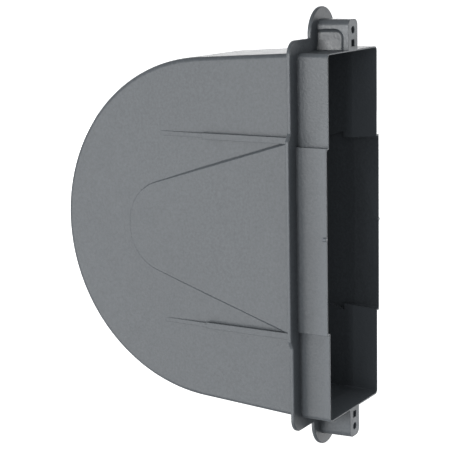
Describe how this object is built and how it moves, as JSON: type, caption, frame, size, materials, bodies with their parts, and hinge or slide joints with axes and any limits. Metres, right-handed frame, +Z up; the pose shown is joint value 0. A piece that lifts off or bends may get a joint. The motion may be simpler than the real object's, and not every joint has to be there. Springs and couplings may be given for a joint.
{
  "type": "generator inlet box",
  "caption": "Recessed D-shaped plastic box with a tall narrow mouth, a wall flange, end ears and screw columns, and a lidded flanged inlet and cable gland inside.",
  "frame": {"origin": "centre of the wall screw pattern, in the plane of the flange's back face", "axes": "-Y out of the mouth, +Y into the wall, +Z up, +X to the side with the cable gland"},
  "size_m": [0.1219, 0.2425, 0.345],
  "materials": {
    "housing_plastic": "fine spark-eroded texture with a semi-gloss sheen, dark slate grey",
    "plate_plastic": "fine texture, slate grey",
    "inlet_plastic": "smooth semi-matt nylon, black",
    "lid_plastic": "smooth semi-matt, light grey",
    "gland_plastic": "semi-matt nylon, black",
    "rubber": "matt black rubber",
    "zinc_steel": "zinc plated",
    "stainless": "bright drawn stainless",
    "brass": "machined brass",
    "nickel": "dull nickel plate"
  },
  "bodies": {
    "box": {"housing": "housing_plastic", "inlet_plate": "plate_plastic", "plate_screws": "zinc_steel", "inlet_body": "inlet_plastic", "inlet_gasket": "rubber", "inlet_screws": "zinc_steel", "inlet_nuts": "zinc_steel", "hot_blades": "brass", "neutral_blade": "nickel", "ground_blade": "brass", "terminal_clamps": "brass", "terminal_screws": "zinc_steel", "terminal_cover": "inlet_plastic", "cover_screws": "zinc_steel", "hinge_pin": "stainless", "hinge_spring": "stainless", "gland_body": "gland_plastic", "gland_nut": "gland_plastic", "gland_seal": "rubber", "gland_gasket": "rubber", "gland_locknut": "gland_plastic"},
    "lid": {"inlet_lid": "lid_plastic", "lid_seal": "rubber"}
  },
  "joints": [
    {"name": "lid_hinge", "type": "hinge", "parent": "box", "child": "lid", "pos_m": [0, 0.0655, 0.037], "axis": [-1, 0, 0], "range_deg": [0, 105], "stiffness_Nm_per_rad": 0.02, "springref_deg": -28.65}
  ]
}
